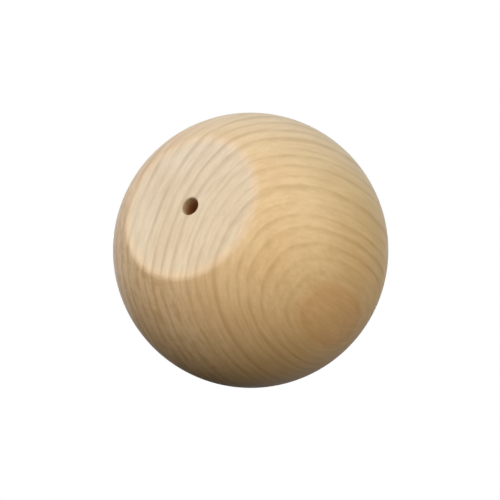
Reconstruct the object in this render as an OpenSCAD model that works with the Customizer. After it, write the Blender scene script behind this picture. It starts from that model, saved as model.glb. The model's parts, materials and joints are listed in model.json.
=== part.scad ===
// Wooden ball knob, turned from one piece of solid hardwood.
// The ball has one flat sanded on it, and a blind pilot hole is drilled from the middle
// of the flat for the wood screw that holds the knob to a door, a drawer front or a rod.
// The knob stands on its flat: the flat lies in the plane z = 0 with its centre at the
// origin, the ball rises along +Z, and the pilot hole runs up the same axis.

/* [Ball] */
// Diameter that the ball is turned to
ball_d = 50; // [40:0.5:80]

/* [Mounting flat] */
// Diameter of the flat, measured at the sharp corner that it would make with the ball
flat_d = 26.8; // [16:0.2:34]
// Radius that sanding gives to that corner
corner_r = 2; // [0.4:0.1:4]

/* [Screw pilot] */
// Diameter of the pilot hole
pilot_d = 3.2; // [2:0.1:6]
// Depth of the pilot hole from the flat, as far as it keeps its full diameter
pilot_depth = 18; // [8:0.5:24]
// Included angle of the drill's point, which shapes the blind end of the hole
drill_point = 118; // [90:1:150]
// Width of the bevel that sanding leaves round the mouth of the hole
mouth_bevel = 0.2; // [0.1:0.05:0.6]

/* [Hidden] */
$fn = 180;

ball_r = ball_d / 2;
flat_r = flat_d / 2;
pilot_r = pilot_d / 2;

// Height of the ball's centre above the flat
centre_z = sqrt(pow(ball_r, 2) - pow(flat_r, 2));

// The sharp corner is sanded to an arc that eases the flat into the ball. The arc's centre
// is corner_r above the flat and ball_r - corner_r from the ball's centre.
corner_x = sqrt(pow(ball_r - corner_r, 2) - pow(centre_z - corner_r, 2));
corner_centre = [corner_x, corner_r];

// The arc is this much larger than one that would only touch the flat and the ball, so
// that it crosses both in a clean edge whatever the sizes are
graze = 0.0004;

// Height of the cone that the drill's point leaves
point_h = pilot_r / tan(drill_point / 2);

// Each outline below is one half of the section: the axis is x = 0, and y is the height.

// The ball, cut off square at the flat
module ball_outline() {
    intersection() {
        translate([0, centre_z]) circle(ball_r);
        square([ball_r, ball_d]);
    }
}

// What sanding takes off the corner: a wedge from the arc's centre out past the corner,
// between the line straight down to the flat and the line straight out to the ball
module corner_waste() {
    straight_out = (corner_centre - [0, centre_z]) / (ball_r - corner_r);
    difference() {
        polygon([
            corner_centre,
            corner_centre + 2 * corner_r * [0, -1],
            corner_centre + 2 * corner_r * straight_out
        ]);
        translate(corner_centre) circle(corner_r + graze);
    }
}

// The pilot hole, from its bevelled mouth to the tip of the drill's point
module pilot_outline() {
    polygon([
        [0, -mouth_bevel],
        [pilot_r + 2 * mouth_bevel, -mouth_bevel],
        [pilot_r, mouth_bevel],
        [pilot_r, pilot_depth],
        [0, pilot_depth + point_h]
    ]);
}

module ball_knob() {
    color([0.87, 0.76, 0.59])
        rotate_extrude()
            difference() {
                ball_outline();
                corner_waste();
                pilot_outline();
            }
}

ball_knob();
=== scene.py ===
# %% [markdown]
# # A ball knob, turned from one piece of pale hardwood
#
# The real knob starts as a square stick of maple or birch. It is spun on a lathe and cut to a ball,
# one side is sanded flat so that it can sit against a drawer front, and a pilot hole is drilled up
# the middle of that flat for a screw. There is no second part. Nearly all that the eye takes in is
# the wood itself, so most of this lesson goes into the growth rings.
#
# First the measured model is loaded. It holds the true sizes, and nothing here moves or resizes it.

# %% Load the measured model
import json
import math
from functools import partial

import bpy
from mathutils import Matrix, Vector


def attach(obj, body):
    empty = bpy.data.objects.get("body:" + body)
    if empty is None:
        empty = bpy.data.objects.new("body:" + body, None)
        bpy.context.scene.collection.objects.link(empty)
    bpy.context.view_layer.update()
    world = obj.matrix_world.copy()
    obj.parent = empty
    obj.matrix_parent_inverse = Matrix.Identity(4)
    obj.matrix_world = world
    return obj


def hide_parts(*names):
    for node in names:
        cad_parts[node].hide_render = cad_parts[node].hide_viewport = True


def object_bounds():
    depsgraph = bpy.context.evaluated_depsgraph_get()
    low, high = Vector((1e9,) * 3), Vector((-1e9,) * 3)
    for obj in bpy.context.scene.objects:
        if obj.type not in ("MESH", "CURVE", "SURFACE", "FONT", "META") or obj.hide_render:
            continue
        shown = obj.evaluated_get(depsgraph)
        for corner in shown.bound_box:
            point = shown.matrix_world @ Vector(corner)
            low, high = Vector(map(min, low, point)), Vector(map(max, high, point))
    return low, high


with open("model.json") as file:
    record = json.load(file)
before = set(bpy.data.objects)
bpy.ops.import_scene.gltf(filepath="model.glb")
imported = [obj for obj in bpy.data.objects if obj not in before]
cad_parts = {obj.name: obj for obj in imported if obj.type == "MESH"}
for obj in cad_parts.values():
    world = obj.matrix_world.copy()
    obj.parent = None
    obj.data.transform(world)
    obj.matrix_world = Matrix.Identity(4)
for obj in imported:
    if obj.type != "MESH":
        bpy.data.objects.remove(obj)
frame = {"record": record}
cad_low, cad_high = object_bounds()
MM = 0.001
print("measured model, mm:", [round(side / MM, 2) for side in cad_high - cad_low])

# %% [markdown]
# ## Sizes
#
# A turner works to a drawing with few numbers on it: the ball, the flat, the hole. Most of them can
# be read off the measured model. The ball is as wide as its box and touches the top of it, so the
# narrower side of the box gives its radius, and its centre lies one radius below the top. Where the
# flat cuts the ball follows from those two. The hole's size is on the record, as the mount that takes
# the screw. What is left are the drill's point and the small sizes of the edges, given here.

# %% Sizes
BALL = min(cad_high.x - cad_low.x, cad_high.y - cad_low.y) / 2
CENTRE = Vector((0, 0, cad_high.z - BALL))
pilot = next(mount for mount in frame["record"]["mounts"] if mount["name"] == "screw_pilot")
HOLE = pilot["dims"]["r_mm"] * MM
MOUTH_BEVEL = 0.2 * MM
HOLE_DEPTH = pilot["dims"]["length_mm"] * MM + MOUTH_BEVEL
DRILL_POINT = math.radians(118)
EDGE = 2.0 * MM
print(f"ball {2 * BALL / MM:.1f} mm, its centre {CENTRE.z / MM:.2f} mm up, hole {2 * HOLE / MM:.1f} mm")

# %% [markdown]
# ## The camera
#
# The knob stands on its flat, and its most telling side is the one it stands on. So the camera looks
# up at it from below, through the floor, as one looks at a knob held in the hand: the flat and its
# hole to the upper left, the round of the ball to the lower right. A long lens from twelve ball radii
# away keeps the ball round. The lens is worked out from how much of the frame the ball fills, and the
# shift moves it by less than a pixel.

# %% Camera
PICTURE_WIDTH = 500  # pixels, as are the next two
OUTLINE_RADIUS = 137.7
OFF_CENTRE = (0.7, 0.3)  # right and down
SENSOR = 36.0  # mm, as the lens is
NEAREST_SEEN = 0.01  # metres
VIEW_AZIMUTH = 105
VIEW_ELEVATION = -52.1
VIEW_ROLL = 126.0
VIEW_DISTANCE = 12 * BALL


def toward(azimuth, elevation):
    """The unit vector that points from the knob to something at that bearing and height."""
    turn = math.radians(azimuth)
    lift = math.radians(elevation)
    level = math.cos(lift)
    return Vector((math.sin(turn) * level, -math.cos(turn) * level, math.sin(lift)))


def look_from(azimuth, elevation, roll):
    """A turn that points a camera or lamp from that bearing back at the knob."""
    upright = toward(azimuth, elevation).to_track_quat("Z", "Y").to_matrix()
    return upright @ Matrix.Rotation(math.radians(roll), 3, "Z")


lens_data = bpy.data.cameras.new("camera")
camera = bpy.data.objects.new("camera", lens_data)
bpy.context.scene.collection.objects.link(camera)
bpy.context.scene.camera = camera
camera.location = CENTRE + toward(VIEW_AZIMUTH, VIEW_ELEVATION) * VIEW_DISTANCE
camera.rotation_euler = look_from(VIEW_AZIMUTH, VIEW_ELEVATION, VIEW_ROLL).to_euler()
outline_slope = BALL / math.sqrt(VIEW_DISTANCE**2 - BALL**2)
lens_data.sensor_width = SENSOR
lens_data.lens = SENSOR * OUTLINE_RADIUS / PICTURE_WIDTH / outline_slope
lens_data.shift_x = -OFF_CENTRE[0] / PICTURE_WIDTH
lens_data.shift_y = OFF_CENTRE[1] / PICTURE_WIDTH
lens_data.clip_start = NEAREST_SEEN
print(f"lens {lens_data.lens:.1f} mm at {VIEW_DISTANCE / MM:.0f} mm")

# %% [markdown]
# ## Arithmetic on nodes
#
# Both the shape and the wood are built from node trees. Wiring a formula node by node hides the
# formula, so this small class wraps a node's output socket and lets Python's own operators do the
# wiring: `radius * 2 + wobble` adds two Math nodes, and `1 - mask` works as well. Anything that isn't
# arithmetic comes from `node`, which takes the node's type, then its settings, then a value or
# another socket for each input. `goes_out` leads a result to the tree's output.


# %% A socket that can be calculated with
class Wire:
    """An output socket of a node tree. Arithmetic on it adds Math nodes to that tree."""

    def __init__(self, socket):
        self.socket = socket

    @classmethod
    def node(cls, tree, kind, settings=None, inputs=None, output=0):
        """Adds a node: its settings first, then a value or a link for each named input."""
        made = tree.nodes.new(kind)
        for name, value in (settings or {}).items():
            if name == "stops":
                cls.set_stops(made.color_ramp.elements, value)
            elif name == "points":
                cls.set_points(made.mapping, value)
            elif name == "interpolation":
                made.color_ramp.interpolation = value
            else:
                setattr(made, name, value)
        for name, value in (inputs or {}).items():
            socket = cls.pick(made.inputs, name)
            if isinstance(value, cls):
                tree.links.new(value.socket, socket)
            else:
                socket.default_value = value
        if isinstance(output, tuple):
            return [cls(cls.pick(made.outputs, name)) for name in output]
        return cls(cls.pick(made.outputs, output))

    @staticmethod
    def pick(sockets, name):
        """The socket of that name that is in use, or of that number."""
        if isinstance(name, int):
            return sockets[name]
        return next(socket for socket in sockets if socket.name == name and socket.enabled)

    @staticmethod
    def set_stops(elements, stops):
        """Gives a colour ramp its stops, each a place and a colour."""
        while len(elements) < len(stops):
            elements.new(1.0)
        for element, (place, colour) in zip(elements, stops):
            element.position = place
            element.color = colour

    @staticmethod
    def set_points(mapping, points):
        """Gives a curve its points, joined by straight lines."""
        curve = mapping.curves[0]
        while len(curve.points) < len(points):
            curve.points.new(1.0, 1.0)
        for point, place in zip(curve.points, points):
            point.location = place
            point.handle_type = "VECTOR"
        mapping.update()

    def goes_out(self, kind, name="Surface"):
        """Adds an output node of that kind to the tree, and leads this socket to it."""
        tree = self.socket.id_data
        tree.links.new(self.socket, tree.nodes.new(kind).inputs[name])

    def math(self, operation, first, second=None):
        """Adds a Math node."""
        inputs = {0: first} if second is None else {0: first, 1: second}
        tree = self.socket.id_data
        return Wire.node(tree, "ShaderNodeMath", {"operation": operation}, inputs)

    def __add__(self, other):
        return self.math("ADD", self, other)

    def __sub__(self, other):
        return self.math("SUBTRACT", self, other)

    def __mul__(self, other):
        return self.math("MULTIPLY", self, other)

    def __truediv__(self, other):
        return self.math("DIVIDE", self, other)

    def __mod__(self, other):
        return self.math("MODULO", self, other)

    def __radd__(self, other):
        return self.math("ADD", other, self)

    def __rsub__(self, other):
        return self.math("SUBTRACT", other, self)

    def __rmul__(self, other):
        return self.math("MULTIPLY", other, self)

    def __rtruediv__(self, other):
        return self.math("DIVIDE", other, self)

    def __rmod__(self, other):
        return self.math("MODULO", other, self)

    def floor(self):
        return self.math("FLOOR", self)

    def fraction(self):
        return self.math("FRACT", self)

    def root(self):
        return self.math("SQRT", self)

    def step(self, low, high):
        """0 below low, 1 above high, and a smooth rise between them."""
        tree = self.socket.id_data
        inputs = {"Value": self, "From Min": low, "From Max": high}
        return Wire.node(tree, "ShaderNodeMapRange", {"interpolation_type": "SMOOTHSTEP"}, inputs)


print("a Wire takes + - * / % from either side")

# %% [markdown]
# ## The outline
#
# A turner's template is half of the object's section, and that is what is drawn here: one line in the
# plane of X and Z, from the tip of the hole round to the crown of the ball. It could be traced by eye,
# but every stretch of it is a straight line or an arc that the sizes fix. The rounded edge is an arc
# that touches both the flat and the ball, so its centre lies one edge radius above the flat and one
# edge radius inside the ball. Where two stretches share a point, the second leaves it out, and the
# crown is written by itself, so that it lies exactly on the axis.

# %% Outline
BALL_STEPS = 120
EDGE_STEPS = 12
FLAT_STEPS = 10
BORE_STEPS = 10


def arc(centre, radius, start, end, steps):
    """Points on a circle, by angle from straight out, in degrees. Each is (out, up)."""
    angles = [math.radians(start + (end - start) * i / steps) for i in range(steps + 1)]
    return [(centre[0] + radius * math.cos(t), centre[1] + radius * math.sin(t)) for t in angles]


def line(start, end, steps):
    """Points on a straight line, each (out, up)."""
    shares = [i / steps for i in range(steps + 1)]
    return [tuple(a + (b - a) * share for a, b in zip(start, end)) for share in shares]


edge_out = math.sqrt((BALL - EDGE) ** 2 - (CENTRE.z - EDGE) ** 2)
edge_turn = math.degrees(math.atan2(EDGE - CENTRE.z, edge_out))
drill_tip = HOLE_DEPTH + HOLE / math.tan(DRILL_POINT / 2)
outline = [
    (0, drill_tip),
    *line((HOLE, HOLE_DEPTH), (HOLE, MOUTH_BEVEL), BORE_STEPS),
    *line((HOLE + MOUTH_BEVEL, 0), (edge_out, 0), FLAT_STEPS),
    *arc((edge_out, EDGE), EDGE, -90, edge_turn, EDGE_STEPS)[1:],
    *arc((0, CENTRE.z), BALL, edge_turn, 90, BALL_STEPS)[1:-1],
    (0, CENTRE.z + BALL),
]
print(f"outline: {len(outline)} points, flat to {edge_out / MM:.2f} mm from the middle")

# %% [markdown]
# ## Turning the outline
#
# A knob could be made with the Screw modifier or with bmesh.ops.spin. Here Geometry Nodes does it,
# because the shape is one rule, which is what nodes are good at: every point of a grid looks up its
# place on the outline and is swung round the axis by its column. The first and the last column
# coincide, and so does the whole row at the crown and at the tip of the hole, so a merge by distance
# closes the seam and both poles. Edges that bend by more than the crease angle stay sharp, as at the
# mouth of the hole, and all the rest is shaded smooth.

# %% A lathe in Geometry Nodes
STEPS_AROUND = 192
WELD = 0.001 * MM
CREASE = math.radians(20)


def lathe_tree():
    """A node group that turns an outline in the X-Z plane about the Z axis."""
    tree = bpy.data.node_groups.new("lathe", "GeometryNodeTree")
    node = partial(Wire.node, tree)
    sockets = (
        ("Outline", "NodeSocketGeometry"),
        ("Steps Around", "NodeSocketInt"),
        ("Crease Angle", "NodeSocketFloat"),
        ("Wood", "NodeSocketMaterial"),
    )
    for name, kind in sockets:
        tree.interface.new_socket(name, in_out="INPUT", socket_type=kind)
    tree.interface.new_socket("Turned", in_out="OUTPUT", socket_type="NodeSocketGeometry")
    given = tree.nodes.new("NodeGroupInput").outputs
    outline_in, steps, crease, wood_in = [Wire(given[name]) for name, _ in sockets]

    rows = node("GeometryNodeAttributeDomainSize", {"component": "MESH"}, {"Geometry": outline_in})
    grid = node("GeometryNodeMeshGrid", {}, {"Vertices X": steps + 1, "Vertices Y": rows})
    index = node("GeometryNodeInputIndex")
    column = (index / rows).floor()
    place = node("GeometryNodeInputPosition")
    on_outline = node(
        "GeometryNodeSampleIndex",
        {"data_type": "FLOAT_VECTOR"},
        {"Geometry": outline_in, "Value": place, "Index": index % rows},
    )
    angle = column * math.tau / steps
    swung = node(
        "ShaderNodeVectorRotate",
        {"rotation_type": "Z_AXIS"},
        {"Vector": on_outline, "Angle": angle},
    )
    turned = node("GeometryNodeSetPosition", {}, {"Geometry": grid, "Position": swung})
    closed = node("GeometryNodeMergeByDistance", {}, {"Geometry": turned, "Distance": WELD})
    smooth = node("GeometryNodeSetShadeSmooth", {}, {"Geometry": closed, "Shade Smooth": True})
    bend = node("GeometryNodeInputMeshEdgeAngle", output="Unsigned Angle")
    sharp = node("FunctionNodeCompare", {"operation": "GREATER_THAN"}, {"A": bend, "B": crease})
    creased = node(
        "GeometryNodeSetShadeSmooth",
        {"domain": "EDGE"},
        {"Geometry": smooth, "Selection": sharp, "Shade Smooth": False},
    )
    real = node("GeometryNodeRealizeInstances", {}, {"Geometry": creased})
    painted = node("GeometryNodeSetMaterial", {}, {"Geometry": real, "Material": wood_in})
    painted.goes_out("NodeGroupOutput", "Turned")
    return tree


lathe = lathe_tree()
print("lathe:", len(lathe.nodes), "nodes")

# %% [markdown]
# ## The wood, as a solid
#
# A board's picture is only a slice of the tree: each year the trunk adds a sleeve of wood, pale and
# open in spring, thin and dark in late summer, and wherever the lathe cuts through those sleeves they
# show as lines. An image wrapped round a ball would stretch at the poles and could not agree with the
# flat. So the rings are calculated in space, as distance from the heart of the trunk, and the ball,
# the flat and the hole all cut the same solid.
#
# The trunk runs nearly along the knob's own axis, so the flat is end grain. The heart lies a little
# outside the ball. It bows, and the rings about it are oval, as they are in a trunk that leans.

# %% The trunk's own axes
ALONG = Vector((0.055, 0.03, 1.0)).normalized()
HEART_SIDE = Vector((0.75, 0.66, 0.0))
TOWARD = (HEART_SIDE - HEART_SIDE.project(ALONG)).normalized()
ACROSS = ALONG.cross(TOWARD)
TRUNK_AXES = Matrix((TOWARD, ACROSS, ALONG))
lean = math.degrees(ALONG.angle(Vector((0, 0, 1))))
print(f"the grain leans {lean:.1f} degrees from the knob's axis")


def trunk_place(tree):
    """The point being shaded, in mm from the ball's centre, along the trunk's own axes."""
    place = Wire.node(tree, "ShaderNodeTexCoord", output="Object")
    centred = {
        "Vector": place,
        "Location": TRUNK_AXES @ (-CENTRE / MM),
        "Rotation": TRUNK_AXES.to_euler(),
        "Scale": (1 / MM, 1 / MM, 1 / MM),
    }
    return Wire.node(tree, "ShaderNodeMapping", {}, centred)


def split(tree, vector):
    """The three numbers of a vector."""
    return Wire.node(tree, "ShaderNodeSeparateXYZ", {}, {"Vector": vector}, ("X", "Y", "Z"))


# %% [markdown]
# ## Noise that is as long as the grain
#
# Wood is a bundle of tubes, so nothing in it is as long across the grain as along it. A noise texture
# is the same in every direction, so its input is squeezed first: the point is divided by the size
# that a feature should have across, around and along the trunk. The result swings either side of 0,
# which makes it easy to add.


# %% Stretched noise
def grain_noise(tree, place, sizes, detail=1.0):
    """Noise whose features have those sizes in mm toward the heart, around it and along the grain."""
    squeezed = Wire.node(
        tree,
        "ShaderNodeVectorMath",
        {"operation": "DIVIDE"},
        {0: place, 1: sizes},
    )
    noise = Wire.node(
        tree,
        "ShaderNodeTexNoise",
        {"noise_dimensions": "3D"},
        {"Vector": squeezed, "Scale": 1.0, "Detail": detail},
        "Fac",
    )
    return noise * 2 - 1


print("grain noise swings from -1 to 1")

# %% [markdown]
# ## Distance from the heart
#
# The rings need one number at each point: how far it lies from the heart of the trunk. Since the
# trunk bows, the heart's place is worked out at the point's own height first. The way round the heart
# is kept as well, so that noise can follow the rings, as the wood's own flecks do. Close to the
# heart the rings bulge to one side, as they do round a knot or where a branch began.

# %% Where the heart lies
# In mm, but for the oval, a ratio, and the bow, in mm for each square mm of height
HEART = (29.8, -13.1)
HEART_BOW = (0.0073, -0.0021)
OVAL = 1.37
WANDER = 0.35
WANDER_SIZES = (9.0, 9.0, 16.0)
TYPICAL_RADIUS = 25.0
BULGE = 2.8
BULGE_SIDE = (-32.0, -8.0)
BULGE_REACH = (10.0, 31.0)
print(f"at mid-height the heart passes {math.hypot(*HEART) - BALL / MM:.1f} mm outside the ball")


def ring_place(tree, place):
    """Distance from the heart in mm, and that, the way round and the height as one vector."""
    node = partial(Wire.node, tree)
    toward_heart, across, along = split(tree, place)
    squared = along * along
    away = squared * HEART_BOW[0] + HEART[0] - toward_heart
    aside = (squared * HEART_BOW[1] + HEART[1] - across) * OVAL
    wobble = grain_noise(tree, place, WANDER_SIZES) * WANDER
    radius = (away * away + aside * aside).root() + wobble
    turn = node("ShaderNodeMath", {"operation": "ARCTAN2"}, {0: aside, 1: away})
    way_round = turn * TYPICAL_RADIUS
    bulging = (1 - way_round.step(*BULGE_SIDE)) * (1 - radius.step(*BULGE_REACH))
    radius = radius - bulging * BULGE
    curved = node("ShaderNodeCombineXYZ", {}, {"X": radius, "Y": way_round, "Z": along})
    return radius, curved


# %% [markdown]
# ## How wide the rings are
#
# A tree puts on a little more wood each year as its crown grows, so the rings widen outward from the
# heart. A good summer makes a ring wider than usual and a lean one makes it narrower, and some years
# end with a darker band than others. A curve node turns distance from the heart into an age in years.
# The whole part of the age is the year and the rest is the season, so one formula draws every ring:
# pale through spring, darker through late summer, and a soft edge where growth stopped for the winter.

# %% Ring widths and darkness
FIRST_RING = 7.7
YEARS = 21
YOUNG_WIDTH = 2.0
OLD_WIDTH = 2.67
ODD_SUMMERS = {4: 0.6, 7: 1.2, 8: -0.5, 11: -1.1, 12: 0.6}  # mm wider than usual, by year
DARK_YEARS = (7, 12, 13, 15, 18, 20)
FAINT_YEARS = (0, 1, 2, 6, 8, 11, 16)
DARK_BAND = 0.77
USUAL_BAND = 0.57
FAINT_BAND = 0.29
MID_YEAR = 0.5
DARKENS = (0.38, 0.86)
WINTER = (0.82, 1.0)


def ring_width(year):
    """The width of one year's growth, in mm."""
    usual = YOUNG_WIDTH + (OLD_WIDTH - YOUNG_WIDTH) * year / (YEARS - 1)
    return usual + ODD_SUMMERS.get(year, 0)


def ring_darkness(year):
    """How dark the late wood of that year is, from 0 to 1."""
    if year in DARK_YEARS:
        return DARK_BAND
    return FAINT_BAND if year in FAINT_YEARS else USUAL_BAND


growth = sum(ring_width(year) for year in range(YEARS))
print(YEARS, "rings,", round(growth, 1), "mm of growth")


def rings(tree, radius):
    """How much of the wood is dark late wood, from 0 to 1, at a distance from the heart."""
    node = partial(Wire.node, tree)
    grown = [sum(ring_width(past) for past in range(year)) for year in range(YEARS + 1)]
    reached = [(width / growth, year / YEARS) for year, width in enumerate(grown)]
    share = (radius - FIRST_RING) / growth
    age = node("ShaderNodeFloatCurve", {"points": reached}, {"Value": share}) * YEARS
    season = age.fraction()
    darks = [ring_darkness(year) for year in range(YEARS)]
    greys = [(year / YEARS, (dark, dark, dark, 1)) for year, dark in enumerate(darks)]
    darkness = node(
        "ShaderNodeValToRGB",
        {"interpolation": "CONSTANT", "stops": greys},
        {"Fac": (age.floor() + MID_YEAR) / YEARS},
    )
    return season.step(*DARKENS) * (1 - season.step(*WINTER)) * darkness


# %% [markdown]
# ## Bare wood and sealed wood
#
# The ball was sealed on the lathe with a thin coat, which deepens the wood's colour and gives it a low
# sheen. The flat was sanded afterwards, so it is bare: paler, greyer and dull. Its rim was rubbed by
# the same paper and is a shade warmer. The hole is bare too, and from a few millimetres in its wall
# is painted a darker brown: painted shade, where the hole's own shade falls. They are told apart
# by where the point is, so no second piece or painted mask is needed. The hole's mask ends above the
# hole, because the crown of the ball lies on the same axis.

# %% Finish zones
FLAT_EDGE = edge_out / MM
BARE_FADE = (FLAT_EDGE - 0.5, FLAT_EDGE + 1.3)
RIM_RISE = (FLAT_EDGE - 1.2, FLAT_EDGE - 0.3)
RIM_FALL = (FLAT_EDGE + 0.1, FLAT_EDGE + 0.7)
ABOVE_FLAT = (0.6, 1.2)
HOLE_WALL = (HOLE / MM, HOLE / MM + 0.12)
HOLE_TOP = (CENTRE.z / MM, BALL / MM)
HOLE_SHADE_DEPTH = 2.6
print("bare wood gives way to sealed, mm from the axis:", [round(out, 1) for out in BARE_FADE])


def zones(tree):
    """How bare, how near the flat's rim and how deep into the hole's painted shade the surface is, each
    from 0 to 1.
    """
    place = Wire.node(tree, "ShaderNodeTexCoord", output="Object")
    out_x, out_y, up = split(tree, place)
    height = up / MM
    from_axis = (out_x * out_x + out_y * out_y).root() / MM
    in_hole = (1 - from_axis.step(*HOLE_WALL)) * (1 - height.step(*HOLE_TOP))
    on_ball = height.step(*ABOVE_FLAT) * (1 - in_hole)
    bare = (1 - from_axis.step(*BARE_FADE)) * (1 - on_ball)
    rim = from_axis.step(*RIM_RISE) * (1 - from_axis.step(*RIM_FALL)) * (1 - on_ball)
    # Painted shade: a share that rises from the hole's mouth inward, where the hole's own shade falls.
    hole_shade = in_hole * height.step(0.0, HOLE_SHADE_DEPTH)
    return bare, rim, hole_shade


# %% [markdown]
# ## Late wood, broken up
#
# Clean rings alone look printed. In real wood each ring is darker here and paler there, and fainter
# bands run beside it. Low down on one side, short flecks and rays cross the rings as well, which
# makers call figure. All of these are noise in the rings' own directions, and they add up to one
# number: how far the wood has gone from its early to its late colour.

# %% How late the wood is
UNDERTONE = 0.20
RING_STRENGTH = 1.02
DASH_STRENGTH = 1.1
DASH_SIZES = (2.5, 5.0, 8.0)
BAND_STRENGTH = 0.65
BAND_SIZES = (0.8, 3.0, 6.0)
FIGURE_STRENGTH = 1.3
FIGURE_SIZES = (0.8, 2.2, 2.8)
FIGURE_SIDE = (2.0, 14.0)
FIGURE_TOP = (-6.0, 2.0)
RAY_STRENGTH = 0.6
RAY_SIZES = (2.2, 0.7, 0.9)
print(f"the figure ends {CENTRE.z / MM + FIGURE_TOP[1]:.0f} mm above the flat")


def late_wood(tree, across, along, radius, curved, bare):
    """How far the colour has gone from early to late wood, about 0 to 1."""
    ring = rings(tree, radius) * RING_STRENGTH
    dashes = grain_noise(tree, curved, DASH_SIZES, detail=2.0) * DASH_STRENGTH
    bands = grain_noise(tree, curved, BAND_SIZES, detail=2.0) * BAND_STRENGTH
    rays = grain_noise(tree, curved, RAY_SIZES) * RAY_STRENGTH
    figure = (grain_noise(tree, curved, FIGURE_SIZES) + rays) * FIGURE_STRENGTH
    figured = across.step(*FIGURE_SIDE) * (1 - along.step(*FIGURE_TOP)) * (1 - bare)
    return UNDERTONE + ring * (1 + dashes) + bands + figure * figured


# %% [markdown]
# ## Slow changes of colour
#
# Four slower changes lie over the rings. The tone wanders from place to place. The side towards the
# heart is a little browner, because it is older wood. Next to the heart is a darker disc, where the
# lathe cut into the core of the trunk. Last comes the warm rim of the flat. Each is a tint that
# multiplies the colour below it, as a thin glaze does.

# %% Tints
WARM = (0.86, 0.73, 0.62, 1)
WARMTH = 0.2
WARMTH_SWING = 0.35
TONE_SIZES = (7.0, 7.0, 14.0)
HEARTWOOD = (0.98, 0.92, 0.80, 1)
HEARTWOOD_FROM = (-12.0, 26.0)
NEAR_HEART = (0.975, 0.885, 0.835, 1)
CORE = (9.4, 10.8)
RUBBED = (1.06, 1.01, 0.97, 1)
print(f"the core reaches {CORE[1]} mm from the heart")


def mix_colours(tree, share, first, second, blend="MIX"):
    """One colour laid over another by that share."""
    settings = {"data_type": "RGBA", "blend_type": blend}
    inputs = {"Factor": share, "A": first, "B": second}
    return Wire.node(tree, "ShaderNodeMix", settings, inputs, "Result")


def tinted(tree, colour, place, toward_heart, radius, rim):
    """The wood's colour with its slow changes laid over it."""
    tone = grain_noise(tree, place, TONE_SIZES) * WARMTH_SWING + WARMTH
    core = 1 - radius.step(*CORE)
    glazes = (
        (tone, WARM),
        (toward_heart.step(*HEARTWOOD_FROM), HEARTWOOD),
        (core, NEAR_HEART),
        (rim, RUBBED),
    )
    for share, glaze in glazes:
        colour = mix_colours(tree, share, colour, glaze, "MULTIPLY")
    return colour


# %% [markdown]
# ## The finish
#
# One Principled shader takes it all. Two pairs of colours, early and late wood, sealed and bare, are
# mixed by the masks, and the tints go over them. Fine fibres and small dark flecks run along the
# grain. Both shade the colour a little and feed a Bump node, at two hundredths of a millimetre, which
# is what fine sanding leaves, and the fibres change the roughness too. The seal is thin, so it only
# lowers the roughness: a coat of its own would look like lacquer.

# %% The wood's material
SEALED_EARLY = (0.765, 0.560, 0.332, 1)
SEALED_LATE = (0.627, 0.426, 0.226, 1)
BARE_EARLY = (0.789, 0.660, 0.485, 1)
BARE_LATE = (0.639, 0.503, 0.352, 1)
# Painted shade: the dark brown put on the deep part of the hole in place of its shade.
HOLE_SHADE_COLOUR = (0.52, 0.25, 0.085, 1)
SEALED_ROUGHNESS = 0.48
BARE_ROUGHNESS = 0.73
FIBRE_SIZES = (0.35, 0.35, 5.0)
FIBRE_SHADE = 0.06
FIBRE_ROUGHNESS = 0.05
FIBRE_DEPTH = 0.02 * MM
FLECK_SIZES = (0.22, 0.22, 2.4)
FLECK_FROM = (0.25, 0.6)
FLECK_SHADE = 0.05


def cleared_tree(owner):
    """The empty node tree of a material or a world."""
    owner.use_nodes = True
    owner.node_tree.nodes.clear()
    return owner.node_tree


def wood_material():
    """Pale hardwood, sealed on the ball and bare on the flat and in the hole."""
    material = bpy.data.materials.new("pale_hardwood")
    tree = cleared_tree(material)
    node = partial(Wire.node, tree)
    mix = partial(mix_colours, tree)

    place = trunk_place(tree)
    toward_heart, across, along = split(tree, place)
    radius, curved = ring_place(tree, place)
    bare, rim, hole_shade = zones(tree)
    late = late_wood(tree, across, along, radius, curved, bare)
    sealed_wood = mix(late, SEALED_EARLY, SEALED_LATE)
    bare_wood = mix(late, BARE_EARLY, BARE_LATE)
    clean = mix(bare, sealed_wood, bare_wood)
    worn = tinted(tree, clean, place, toward_heart, radius, rim)

    fibres = grain_noise(tree, place, FIBRE_SIZES, detail=2.0)
    flecks = grain_noise(tree, place, FLECK_SIZES).step(*FLECK_FROM)
    bright = 1 + fibres * FIBRE_SHADE - flecks * FLECK_SHADE
    shaded = node("ShaderNodeVectorMath", {"operation": "SCALE"}, {0: worn, "Scale": bright})
    # The hole's painted shade goes over the wood last.
    colour = mix(hole_shade, shaded, HOLE_SHADE_COLOUR)
    dullness = bare * (BARE_ROUGHNESS - SEALED_ROUGHNESS) + SEALED_ROUGHNESS
    relief = {"Strength": 1.0, "Distance": FIBRE_DEPTH, "Height": fibres - flecks}
    surface = node(
        "ShaderNodeBsdfPrincipled",
        {},
        {
            "Base Color": colour,
            "Roughness": dullness + fibres * FIBRE_ROUGHNESS,
            "Normal": node("ShaderNodeBump", {}, relief),
        },
    )
    surface.goes_out("ShaderNodeOutputMaterial")
    return material


wood = wood_material()
print("wood:", len(wood.node_tree.nodes), "nodes")

# %% [markdown]
# ## Turn it
#
# The outline goes in as a mesh of loose edges. The modifier's inputs are set by each socket's
# identifier, the tree is evaluated once, and the result is kept as a plain mesh.


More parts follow.
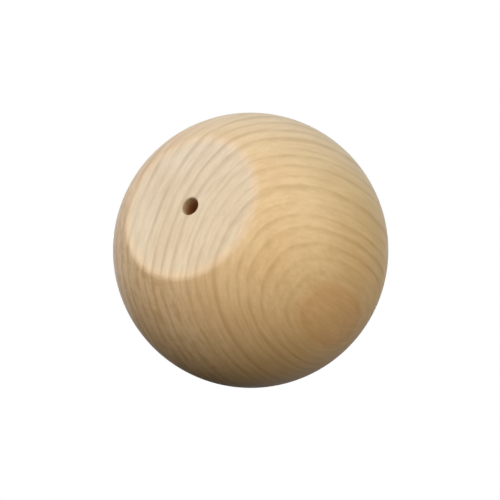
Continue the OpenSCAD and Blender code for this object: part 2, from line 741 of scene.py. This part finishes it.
# %% Turn the knob
def turn_on_lathe(name, points, tree, values):
    """Turns an outline with a lathe tree and returns the result as a plain mesh object."""
    blank = bpy.data.meshes.new(name + "_outline")
    edges = [(i, i + 1) for i in range(len(points) - 1)]
    blank.from_pydata([(out, 0, up) for out, up in points], edges, [])
    piece = bpy.data.objects.new(name, blank)
    bpy.context.scene.collection.objects.link(piece)
    modifier = piece.modifiers.new("lathe", "NODES")
    modifier.node_group = tree
    for item in tree.interface.items_tree:
        if item.in_out == "INPUT" and item.name in values:
            modifier[item.identifier] = values[item.name]
    graph = bpy.context.evaluated_depsgraph_get()
    turned = bpy.data.meshes.new_from_object(piece.evaluated_get(graph), depsgraph=graph)
    piece.modifiers.clear()
    piece.data = turned
    bpy.data.meshes.remove(blank)
    return piece


settings = {"Steps Around": STEPS_AROUND, "Crease Angle": CREASE, "Wood": wood}
knob = turn_on_lathe("turned_knob", outline, lathe, settings)
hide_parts("ball_knob")
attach(knob, "root")
print("knob:", len(knob.data.vertices), "points,", len(knob.data.polygons), "faces")

# %% [markdown]
# ## The floor
#
# The knob stands on a sheet of opal light table: pale, plain, and glowing a little, so that it turns
# to clean white before it reaches the horizon. The camera looks up through it, so the sheet is made
# to show from above only: where a ray meets the back of the face, a Mix Shader swaps the paper for a
# clear material. It is also taken out of bounces and shadows, so that lamps below it reach the knob.

# %% Floor
FLOOR_SIZE = 3.0
FLOOR_DROP = 0.2 * MM
PAPER = (0.49, 0.468, 0.445, 1)
GLOW_NEAR = (0.40, 0.40, 0.40, 1)
GLOW_FAR = (1.0, 1.0, 1.0, 1)
GLOW_REACH = (0.10, 0.60)


def floor_material():
    """Pale paper that glows more with distance, and is clear from below."""
    material = bpy.data.materials.new("floor_one_way")
    tree = cleared_tree(material)
    node = partial(Wire.node, tree)
    out_x, out_y, _ = split(tree, node("ShaderNodeTexCoord", output="Object"))
    away = (out_x * out_x + out_y * out_y).root()
    paper = node(
        "ShaderNodeBsdfPrincipled",
        {},
        {
            "Base Color": PAPER,
            "Roughness": 1.0,
            "Specular IOR Level": 0.0,
            "Emission Color": mix_colours(tree, away.step(*GLOW_REACH), GLOW_NEAR, GLOW_FAR),
            "Emission Strength": 1.0,
        },
    )
    clear = node("ShaderNodeBsdfTransparent")
    under = node("ShaderNodeNewGeometry", output="Backfacing")
    mixed = node("ShaderNodeMixShader", {}, {0: under, 1: paper, 2: clear})
    mixed.goes_out("ShaderNodeOutputMaterial")
    return material


reach = FLOOR_SIZE / 2
turns = ((-1, -1), (1, -1), (1, 1), (-1, 1))
corners = [(x * reach, y * reach, -FLOOR_DROP) for x, y in turns]
floor_mesh = bpy.data.meshes.new("floor")
floor_mesh.from_pydata(corners, [], [(0, 1, 2, 3)])
floor_mesh.materials.append(floor_material())
floor = bpy.data.objects.new("floor", floor_mesh)
bpy.context.scene.collection.objects.link(floor)
for ray in ("diffuse", "glossy", "transmission", "shadow"):
    setattr(floor, "visible_" + ray, False)
print(f"floor: {FLOOR_SIZE} m square, {FLOOR_DROP / MM} mm below the flat")

# %% [markdown]
# ## The lamps
#
# Soft light comes from large lamps close by. What counts is how much of the knob's sky a lamp fills,
# so each is given by where it stands and by the half angle of the cone that it fills, and its power
# is worked out from how bright its face should look. A broad white one from below shows the flat, a
# warm one models the round side, and three fainter, cooler ones open the shadows. The crown lamp
# stands behind the knob as the camera sees it, so it lights the top without changing that view. It
# is kept out of reflections, because gloss that skims the outline shows as bright specks.

# %% Lamps
LAMP_DISTANCE = 0.6
LAMPS = (
    # name, azimuth, elevation, half angle, brightness, colour
    ("under", 290, -80, 28, 3.40, (1.0, 1.0, 1.04)),
    ("side", 70, -20, 30, 2.27, (1.0, 0.92, 0.71)),
    ("rim", 20, -16, 35, 0.60, (0.45, 0.95, 1.30)),
    ("back", 305, 25, 47, 0.90, (0.95, 1.02, 1.15)),
    ("overhead", 315, 88, 33, 0.27, (0.90, 1.05, 1.25)),
    ("crown", 288, 53, 16, 12.5, (1.0, 1.0, 1.0)),
)


def softbox(name, azimuth, elevation, half_angle, brightness, colour):
    """A round soft lamp that faces the knob and fills a cone of that half angle."""
    radius = LAMP_DISTANCE * math.tan(math.radians(half_angle))
    face = math.pi * radius**2
    data = bpy.data.lights.new(name, "AREA")
    data.shape = "DISK"
    data.size = 2 * radius
    data.energy = brightness * math.pi * face
    data.color = colour
    lamp = bpy.data.objects.new(name, data)
    bpy.context.scene.collection.objects.link(lamp)
    lamp.location = CENTRE + toward(azimuth, elevation) * LAMP_DISTANCE
    lamp.rotation_euler = look_from(azimuth, elevation, 0).to_euler()
    lamp.visible_camera = False
    print(f"lamp {name}: {2 * radius:.2f} m across, {data.energy:.2f} W")
    return lamp


lamps = {values[0]: softbox(*values) for values in LAMPS}
lamps["crown"].visible_glossy = False

# %% [markdown]
# ## The backdrop
#
# A pure white world would light the knob flat from all sides. Light Path tells the camera's rays from
# the rest, so the backdrop looks white and yet gives only a faint fill. The Standard view keeps
# colours as they are mixed here.

# %% Backdrop
WHITE = (1.0, 1.0, 1.0, 1)
FILL_COLOUR = (1.0, 0.93, 0.80, 1)
FILL = 0.03


def backdrop():
    """A world that looks white and lights the knob only faintly."""
    world = bpy.data.worlds.new("backdrop")
    node = partial(Wire.node, cleared_tree(world))
    seen = node("ShaderNodeLightPath", output="Is Camera Ray")
    fill = node("ShaderNodeBackground", {}, {"Color": FILL_COLOUR, "Strength": FILL})
    white = node("ShaderNodeBackground", {}, {"Color": WHITE, "Strength": 1.0})
    mixed = node("ShaderNodeMixShader", {}, {0: seen, 1: fill, 2: white})
    mixed.goes_out("ShaderNodeOutputWorld")
    return world


bpy.context.scene.world = backdrop()
bpy.context.scene.view_settings.view_transform = "Standard"
print("backdrop: white, with a fill of", FILL)
